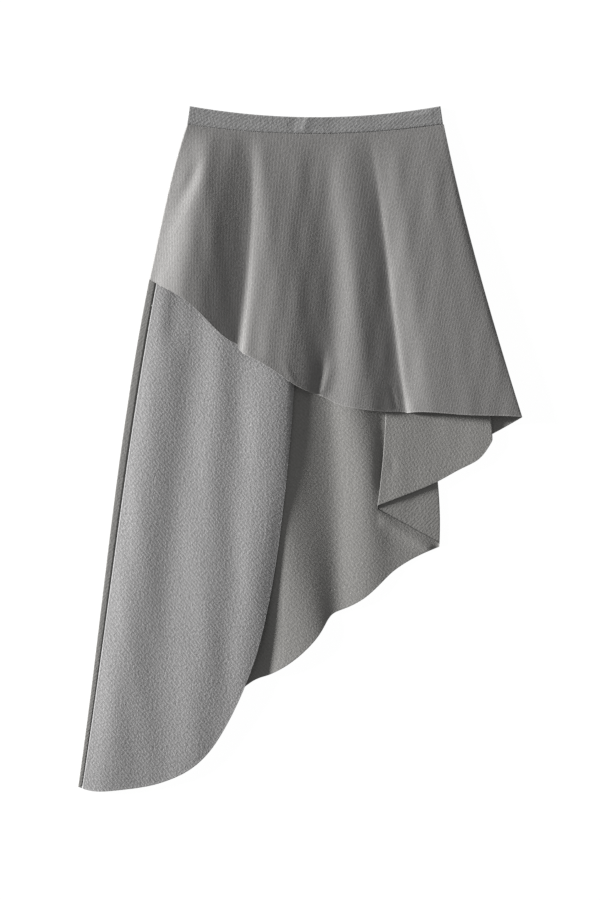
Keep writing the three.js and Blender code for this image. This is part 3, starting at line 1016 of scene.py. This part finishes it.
    def build(self) -> bpy.types.Object:
        """Builds the panel from its rails, with its thickness and its maps.

        Returns:
            The panel's object.
        """
        down = self.down_shares()
        _, at_fold = self.rail_points(down)
        across = self.across_shares(at_fold)
        surface = self.middle(across, down)
        shape = surface.shape[:2]
        thickness, wear_and_painted_light = self.thickness(down, shape), self.wear_and_painted_light(down, across)
        mesh = shell_of(surface * MM, thickness, self.cut_places(surface, across), wear_and_painted_light)
        return self.dress(mesh)


@dataclass(kw_only=True)
class WaistbandHalf(Sheet):
    """One half of the waistband: a strip folded lengthwise, with its fold at the band's upper edge.

    Attributes:
        height: Height of its middle, in millimetres.
        cloth: Thickness of each layer with its interfacing, in millimetres.
        half_gap: Height of each layer's middle off the band's middle, in millimetres.
        seam_gap: The same at the waist seam, where the layers are sewn flat.
        columns: Columns of the grid from end to end.
        lines: Lines of the grid on each layer.
    """

    height: float
    flat: tuple[float, float] = (0.35, 0.049)
    uneven: Unevenness = Unevenness(height=0.05, length=70, seed=5)
    cloth: float = 0.6
    half_gap: float = 0.85
    seam_gap: float = 0.5
    columns: int = 300
    lines: int = 22

    SLOT = "band_twill"
    HELD = "folded"

    # Lines round its fold, and the share from the seam over which its layers open
    FOLD_STEPS = 9
    OPEN_SHARE = 0.2

    # Side over which its creases pass to the upper layer, and where and how much its fold is pressed:
    # smoother, and painted lighter as a painted highlight
    UPPER_SIDE = 0.6
    PRESSED_AND_HIGHLIT_SHARE = 0.96
    PRESSED_AND_HIGHLIT = 0.5

    def profile(self) -> tuple[Array, Array, Array]:
        """The folded strip's section: the under layer, a half circle at the fold, and the upper layer.

        Returns:
            For each line, its share from the seam to the fold's start, the half circle's reach past it in
            shares of its radius, and its side: -1 on the under layer, 1 on the upper one.
        """
        rise = np.sin(np.linspace(0, math.pi / 2, self.lines))
        turn = np.linspace(-math.pi / 2, math.pi / 2, self.FOLD_STEPS + 2)[1:-1]
        share = np.concatenate([rise, np.ones(self.FOLD_STEPS), rise[::-1]])
        past = np.concatenate([0 * rise, np.cos(turn), 0 * rise])
        side = np.concatenate([-1 + 0 * rise, np.sin(turn), 1 + 0 * rise])
        return share, past, side

    def build(self) -> bpy.types.Object:
        """Builds the half between the two parabolas of its edges.

        Returns:
            The half's object.
        """
        share, past, side = (values[None, :] for values in self.profile())
        across = np.linspace(-1, 1, self.columns)[:, None]
        low_x = WAIST_MIDDLE + across * WAIST_SEAM_HALF
        top_x = WAIST_MIDDLE + across * BAND_TOP_HALF
        low_y = waist_seam_y(low_x) + SEAM_GAP / 2
        top_y = band_top_y(top_x) - self.half_gap - self.cloth / 2
        x = low_x + (top_x - low_x) * share
        y = low_y + (top_y - low_y) * share + past * self.half_gap
        open_out = smooth_step(0.0, self.OPEN_SHARE, share)
        off = self.seam_gap + (self.half_gap - self.seam_gap) * open_out
        upper = smooth_step(-self.UPPER_SIDE, self.UPPER_SIDE, side)
        lift = self.crease_lift(x, y, np.zeros(x.shape))
        z = self.height + side * off + (lift + self.uneven.lift(x, y)) * upper * open_out
        middle = np.stack([x, y, z], axis=-1)
        steps = np.linalg.norm(np.diff(middle, axis=1), axis=2)
        run = np.concatenate([np.zeros((len(x), 1)), np.cumsum(steps, axis=1)], axis=1)
        cut = np.stack([x, run], axis=-1) * MM
        # The fold's top: smoother, and painted lighter as a painted highlight
        painted_wear_and_light = self.PRESSED_AND_HIGHLIT * np.broadcast_to(smooth_step(self.PRESSED_AND_HIGHLIT_SHARE, 1.0, share) * upper, x.shape)
        mesh = shell_of(middle * MM, np.full(x.shape, self.cloth * MM), cut, painted_wear_and_light)
        return self.dress(mesh)


@dataclass(frozen=True)
class ThreadFinish:
    """Sewing thread, twisted from two plies.

    Attributes:
        name: Name of the material.
        colour: Its colour, linear.
        twist: Distance between two turns of the twist, in metres.
        roughness: Its roughness.
    """

    name: str = "Sewing thread"
    colour: tuple[float, float, float] = (0.26, 0.26, 0.255)
    twist: float = 0.0006
    roughness: float = 0.6

    # Share by which the twist changes the colour, darker in its grooves as painted shade, and its bump's
    # height as a share of it
    TWIST_SHADE = 0.15
    TWIST_RELIEF = 0.125

    def material(self) -> bpy.types.Material:
        """Builds the material: slanted twist bands shade its colour, painted shade in the grooves, and raise
        it a little.

        Returns:
            The new material.
        """
        made = bpy.data.materials.new(self.name)
        made.use_nodes = True
        tree = made.node_tree
        shader = tree.nodes["Principled BSDF"]
        make = NodeMaker(tree)
        place = tree.nodes.new("ShaderNodeTexCoord")
        split = tree.nodes.new("ShaderNodeSeparateXYZ")
        tree.links.new(place.outputs["Object"], split.inputs[0])
        slant = make.math("ADD", split.outputs[0], split.outputs[1])
        wave = make.math("SINE", make.math("MULTIPLY", slant, 2 * math.pi / self.twist))
        # Painted shade: darker where the twist's bump is low
        factor = make.math("MULTIPLY_ADD", wave, self.TWIST_SHADE, 1.0)
        tree.links.new(make.tint(self.colour, factor), shader.inputs["Base Color"])
        normal = make.bump(wave, self.twist * self.TWIST_RELIEF)
        tree.links.new(normal, shader.inputs["Normal"])
        shader.inputs["Roughness"].default_value = self.roughness
        return made


@dataclass
class SeamStitches:
    """The row of stitches that lies in the waist seam, between the band and the overlay.

    Attributes:
        pitch: Distance from stitch to stitch, in millimetres.
        length: Length of a stitch, in millimetres.
        radius: Radius of the thread, in millimetres.
        height: Height of the stitches' middle, in millimetres.
        margin: Distance from the band's ends to the first and last stitch, in millimetres.
        jitter: How far a stitch may turn or shift, as a share of its length.
        finish: Its thread.
    """

    pitch: float = 2.9
    length: float = 1.9
    radius: float = 0.24
    height: float = 4.72
    margin: float = 1.6
    jitter: float = 0.06
    finish: ThreadFinish = field(default_factory=ThreadFinish)

    SIDES = 6
    RINGS = 7
    SEED = 11

    # How narrow a stitch is at its ends, and how deep they sink, as shares of its radius
    TAPER = 0.94
    SAG = 0.5

    def build(self) -> bpy.types.Object:
        """Builds all the stitches at once: rings round each stitch's line, narrow at both of its ends.

        Returns:
            The stitches' object.
        """
        draw = np.random.default_rng(self.SEED)
        reach = WAIST_SEAM_HALF - self.margin
        count = int(2 * reach / self.pitch) + 1
        x = WAIST_MIDDLE + np.linspace(-reach, reach, count)
        shift = draw.uniform(-self.jitter, self.jitter, (3, count)) * self.length
        lean = 2 * WAIST_SEAM_RISE * (x - WAIST_MIDDLE) / WAIST_SEAM_HALF**2 + shift[0]
        along = np.stack([np.ones(count), lean, np.zeros(count)], axis=-1)
        along /= np.linalg.norm(along, axis=1, keepdims=True)
        beside = np.stack([-along[:, 1], along[:, 0], along[:, 2]], axis=-1)
        centre = np.stack([x + shift[1], waist_seam_y(x), self.height + shift[2] / 2], axis=-1)
        t = np.linspace(-1, 1, self.RINGS)
        radius = self.radius * np.sqrt(1 - (self.TAPER * t) ** 2)
        turn = np.arange(self.SIDES) * 2 * math.pi / self.SIDES
        sag = -self.SAG * self.radius * t**2
        line = centre[:, None] + along[:, None] * (t * self.length / 2)[None, :, None]
        line[..., 2] += sag
        ring = radius[None, :, None, None] * np.cos(turn)[None, None, :, None] * beside[:, None, None, :]
        ring[..., 2] += radius[None, :, None] * np.sin(turn)
        points = (line[:, :, None, :] + ring).reshape(-1, 3) * MM
        number = np.arange(len(points)).reshape(count, self.RINGS, self.SIDES)
        after = np.roll(number, -1, axis=2)
        skin = np.stack([number[:, :-1], number[:, 1:], after[:, 1:], after[:, :-1]], axis=-1)
        first, last = number[:, 0], number[:, -1]
        caps = [first[:, [0, 1, 2, 3]], first[:, [0, 3, 4, 5]], last[:, [3, 2, 1, 0]], last[:, [5, 4, 3, 0]]]
        quads = np.concatenate([skin.reshape(-1, 4), *caps])
        mesh = CutMesh(points, quads, points[:, :2], np.zeros(len(points)))
        made = mesh.as_object("waist_stitches", self.finish.material())
        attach(made, BODY)
        LOG.info("%s: %d stitches", made.name, count)
        return made


@dataclass
class Studio:
    """The plain floor, the soft light and the camera that looks straight down.

    Attributes:
        view_height: Height of the camera's view over the floor, in metres.
        distance: Distance from the camera to the floor, in metres.
        middle: The floor's point in the middle of the view, in metres.
        key_elevation: Elevation of the key light, in degrees.
        key_azimuth: Heading that the key light comes from, in degrees from +X.
        key_energy: Strength of the key light.
        key_softness: Angle that the key light fills, in degrees.
        fill: Strength of the even light from all round.
        floor_reach: Distance from the floor's middle to its sides, in metres.
        floor_faces: Number of the floor's faces along each side.
        floor_z: Height of the floor, in metres.
        floor_shade: Colour of the floor, linear grey.
        floor_glow: Strength of the floor's own light, so that it is even.
    """

    view_height: float = 1.224
    distance: float = 4.0
    middle: tuple[float, float] = (0.0007, -0.0014)
    key_elevation: float = 10.0
    key_azimuth: float = 168.0
    key_energy: float = 13.6
    key_softness: float = 10.0
    fill: float = 0.29
    floor_reach: float = 3.0
    floor_faces: int = 8
    floor_z: float = -0.0002
    floor_shade: float = 0.06
    floor_glow: float = 0.97

    SENSOR = 36.0
    FLOOR_ROUGHNESS = 0.9
    LAMP_DISTANCE = 3.0

    def floor(self) -> bpy.types.Object:
        """A plain pale floor, a square of even faces just under the skirt.

        Returns:
            The floor's object.
        """
        count = self.floor_faces
        line = np.linspace(-self.floor_reach, self.floor_reach, count + 1)
        x, y = np.meshgrid(line, line, indexing="ij")
        points = np.stack([x, y, np.full(x.shape, self.floor_z)], axis=-1).reshape(-1, 3)
        number = np.arange((count + 1) ** 2).reshape(count + 1, count + 1)
        corners = [number[:-1, :-1], number[1:, :-1], number[1:, 1:], number[:-1, 1:]]
        quads = np.stack(corners, axis=-1).reshape(-1, 4)
        paper = bpy.data.materials.new("Pale floor")
        paper.use_nodes = True
        shader = paper.node_tree.nodes["Principled BSDF"]
        shader.inputs["Base Color"].default_value = (*(self.floor_shade,) * 3, 1)
        shader.inputs["Roughness"].default_value = self.FLOOR_ROUGHNESS
        shader.inputs["Emission Color"].default_value = WHITE
        shader.inputs["Emission Strength"].default_value = self.floor_glow
        made = CutMesh(points, quads, points[:, :2], np.zeros(len(points))).as_object("floor", paper)
        return made

    def lights(self) -> None:
        """A low soft key light from the left, and an even light from all round."""
        key = bpy.data.lights.new("Key light", "SUN")
        key.energy = self.key_energy
        key.angle = math.radians(self.key_softness)
        lamp = bpy.data.objects.new("Key light", key)
        tilt, turn = math.radians(self.key_elevation), math.radians(self.key_azimuth)
        towards = Vector((math.cos(tilt) * math.cos(turn), math.cos(tilt) * math.sin(turn), math.sin(tilt)))
        lamp.rotation_euler = towards.to_track_quat("Z", "Y").to_euler()
        lamp.location = towards * self.LAMP_DISTANCE
        bpy.context.scene.collection.objects.link(lamp)
        world = bpy.data.worlds.new("Soft studio")
        world.use_nodes = True
        sky = world.node_tree.nodes["Background"]
        sky.inputs["Color"].default_value = WHITE
        sky.inputs["Strength"].default_value = self.fill
        bpy.context.scene.world = world

    def camera(self) -> None:
        """A long lens straight above the middle of the skirt."""
        data = bpy.data.cameras.new("Overhead camera")
        data.sensor_fit = "VERTICAL"
        data.sensor_height = self.SENSOR
        data.lens = self.SENSOR * self.distance / self.view_height
        camera = bpy.data.objects.new("Overhead camera", data)
        camera.location = (*self.middle, self.distance)
        bpy.context.scene.collection.objects.link(camera)
        bpy.context.scene.camera = camera

    def build(self) -> None:
        """Sets the floor, the lights and the camera, and keeps the colours plain."""
        self.camera()
        self.floor()
        self.lights()
        bpy.context.scene.view_settings.view_transform = "Standard"
        LOG.info("studio is set")


# The skirt is one grey cloth: the finishes' colours differ by panel as painted light and shade, each set to
# how light its panel looks under the lamp, the long panel lightest and the overlay darkest
BAND_TWILL = TwillFinish(
    "Band twill", colour=(0.208, 0.207, 0.206), rib_pitch=0.0066, rib_lean=1.3, relief=0.44, shade=0.22
)
OVERLAY_TWILL = TwillFinish("Overlay twill")
LONG_TWILL = TwillFinish(
    "Long panel twill", colour=(0.238, 0.235, 0.235), rib_pitch=0.005, rib_lean=0.84, relief=0.5, shade=0.2
)
BACK_TWILL = TwillFinish(
    "Back twill", colour=(0.206, 0.202, 0.194), rib_pitch=0.0056, rib_lean=1.0, relief=0.36
)

OVERLAY_CREASES = (
    Crease(((-194, 252), (-176, 284), (-151, 322), (-131, 369), (-124, 416)), 0.65, 5, 13, 0.75, 0.5),
    Crease(((-173, 311), (-157, 345), (-143, 373), (-131, 407)), -0.9, 8, 6),
    Crease(((-7, 90), (-16, 105), (-22, 124)), 0.5, 2.5, 3.5, 0.1, 0.5),
    Crease(((24, 73), (28, 94), (32, 118), (36, 148)), -1.6, 7, 4, 0.0, 0.7),
    Crease(((31, 76), (41, 107), (46, 135)), 0.7, 3.5, 8, 0.05, 0.6),
    Crease(((131, 56), (127, 73), (124, 94)), -0.5, 4, 3, 0.0, 0.6),
    Crease(((180, 162), (175, 284), (161, 393)), -0.35, 12, 12),
    Crease(((-62, 118), (-54, 200), (-51, 300)), -0.6, 10, 14, 0.1, 0.6),
    Crease(((154, 58), (148, 121), (138, 220)), -0.6, 10, 14, 0.1, 0.6),
)

LONG_PANEL_CREASES = (
    Crease(((-50, -245), (-41, -205), (-33, -151), (-20, -42)), -0.5, 14, 14, 0.3, 0.4),
    Crease(((-176, 120), (-170, 175), (-164, 226)), -1.7, 14, 22, 0.5, 0.0),
)

BACK_CREASES = (
    Crease(((127, -35), (124, -8)), -0.35, 3, 4, 0.3, 0.4, above=4.5),
    Crease(((110, -72), (113, -42), (117, 20), (118, 60)), -1.8, 8, 4, 0.3, 0.2, below=3.9),
    Crease(((184, -138), (145, -114), (102, -88)), 1.4, 9, 5, 0.1, 0.25, below=3.9),
    Crease(((-120, -380), (-112, 0), (-92, 300)), 0.6, 14, 18),
    Crease(((-205, -400), (-190, -100), (-160, 150)), 0.5, 16, 16),
)

FRONT_BAND_CREASES = (
    Crease(((3.4, 431), (11.6, 452)), 0.55, 3.5, 9, 0.1, 0.0),
    Crease(((-10, 431), (-3.4, 452)), -0.35, 8, 4, 0.1, 0.0),
    Crease(((41, 431), (48, 452)), -0.45, 12, 20, 0.2, 0.0),
    Crease(((105, 443), (143, 450), (186, 458)), 0.35, 3.5, 5, 0.3, 0.1),
    Crease(((140, 457), (175, 463)), -0.25, 4, 4, 0.3, 0.2),
)


def skirt_pieces() -> list[Panel | WaistbandHalf | SeamStitches]:
    """The skirt's cut pieces and its stitches, from the lowest to the highest as they lie."""
    return [
        WaistbandHalf(node="waistband_back", height=1.15, rests_on=("floor",), finish=BAND_TWILL),
        Panel(
            node="back_panel",
            rails=rails_of(BACK_ROWS),
            flat=(1.1, 1.0),
            rests_on=("floor",),
            finish=BACK_TWILL,
            creases=BACK_CREASES,
            uneven=Unevenness(0.1, 50, 3),
            hem_bead=0.0,
            dark_fold="inner fold over",
            dark_hem=("low fold over", "inner fold under"),
            columns=6,
        ),
        Panel(
            node="front_long_panel",
            rails=rails_of((BACK_ROWS[0], *LONG_PANEL_ROWS)),
            flat=(0.34, 0.93),
            rests_on=("back_panel_cloth",),
            finish=LONG_TWILL,
            creases=LONG_PANEL_CREASES,
            uneven=Unevenness(0.13, 45, 4),
            dark_seam=1.2,
            seam_allowance=0.6,
        ),
        Panel(
            node="front_overlay",
            rails=rails_of(OVERLAY_ROWS),
            flat=(0.62, 0.42),
            rests_on=("front_long_panel_cloth", "back_panel_cloth"),
            finish=OVERLAY_TWILL,
            creases=OVERLAY_CREASES,
            uneven=Unevenness(0.15, 40, 6),
            hem_bead=0.3,
            fan=0.0008,
        ),
        WaistbandHalf(
            node="waistband_front",
            height=3.75,
            rests_on=("waistband_back_cloth",),
            finish=BAND_TWILL,
            creases=FRONT_BAND_CREASES,
        ),
        SeamStitches(),
    ]


def main() -> None:
    """Builds the studio and the skirt."""
    logging.basicConfig(level=logging.INFO, format="%(name)s: %(message)s")
    Studio().build()
    for piece in skirt_pieces():
        piece.build()
    LOG.info("sizes kept")


if __name__ == "__main__":
    main()
